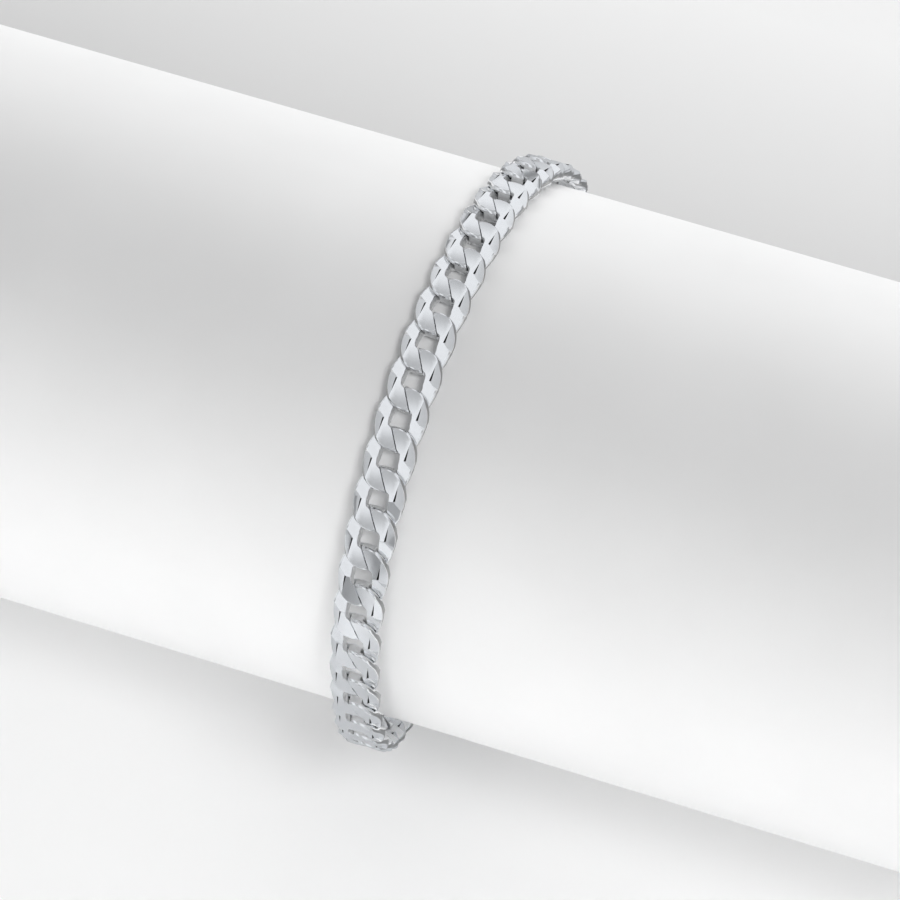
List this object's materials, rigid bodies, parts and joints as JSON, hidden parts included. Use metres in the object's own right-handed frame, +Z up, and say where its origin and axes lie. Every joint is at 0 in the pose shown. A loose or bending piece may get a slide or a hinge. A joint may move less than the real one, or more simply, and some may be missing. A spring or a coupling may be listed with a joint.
{
  "type": "link bracelet on a display roll",
  "caption": "Flattened curb link bracelet of polished silver, closed in a loop round a plain white display roll that carries it.",
  "frame": {"origin": "centre of the display roll's left end face, on the roll's axis", "axes": "+X along the roll towards its right end, +Z up, -Y towards the side that the picture shows"},
  "size_m": [0.14, 0.0686, 0.0688],
  "materials": {
    "polished_silver": "polished silver",
    "white_wrap": "smooth matte white"
  },
  "bodies": {
    "root": {"display_roll": "white_wrap", "link_01": "polished_silver", "link_02": "polished_silver", "link_03": "polished_silver", "link_04": "polished_silver", "link_05": "polished_silver", "link_06": "polished_silver", "link_07": "polished_silver", "link_08": "polished_silver", "link_09": "polished_silver", "link_10": "polished_silver", "link_11": "polished_silver", "link_12": "polished_silver", "link_13": "polished_silver", "link_14": "polished_silver", "link_15": "polished_silver", "link_16": "polished_silver", "link_17": "polished_silver", "link_18": "polished_silver", "link_19": "polished_silver", "link_20": "polished_silver", "link_21": "polished_silver", "link_22": "polished_silver", "link_23": "polished_silver", "link_24": "polished_silver", "link_25": "polished_silver", "link_26": "polished_silver", "link_27": "polished_silver", "link_28": "polished_silver", "link_29": "polished_silver", "link_30": "polished_silver", "link_31": "polished_silver", "link_32": "polished_silver", "link_33": "polished_silver", "link_34": "polished_silver", "link_35": "polished_silver", "link_36": "polished_silver", "link_37": "polished_silver", "link_38": "polished_silver", "link_39": "polished_silver", "link_40": "polished_silver", "link_41": "polished_silver", "link_42": "polished_silver", "link_43": "polished_silver", "jump_ring_a": "polished_silver", "jump_ring_b": "polished_silver", "clasp": "polished_silver"}
  },
  "joints": []
}
